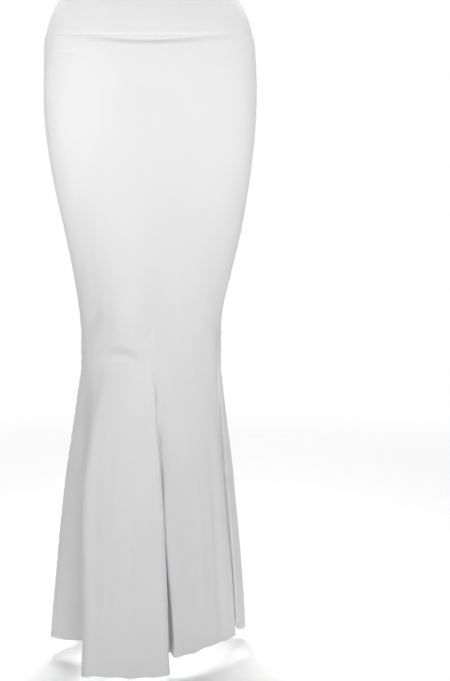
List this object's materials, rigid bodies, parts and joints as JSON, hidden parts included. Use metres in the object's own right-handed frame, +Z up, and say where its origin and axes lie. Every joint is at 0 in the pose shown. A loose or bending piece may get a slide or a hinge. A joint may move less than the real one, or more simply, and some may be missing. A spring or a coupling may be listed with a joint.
{
  "type": "fishtail skirt",
  "caption": "Ankle-length fitted skirt that narrows at the knee and flares into flutes at the hem, under a wide doubled waistband.",
  "frame": {"origin": "middle of the waist opening, halfway up the waistband, where the wearer holds the skirt", "axes": "+Z up through the waist opening, -Y the front, +X the side on the right of the picture"},
  "size_m": [0.3416, 0.46, 1.053],
  "materials": {
    "jersey": "smooth fine stretch jersey, soft low sheen",
    "doubled_jersey": "the same jersey, doubled over, soft low sheen"
  },
  "bodies": {
    "root": {"skirt_front": "jersey", "skirt_back": "jersey", "waistband_front": "doubled_jersey", "waistband_back": "doubled_jersey"}
  },
  "joints": []
}
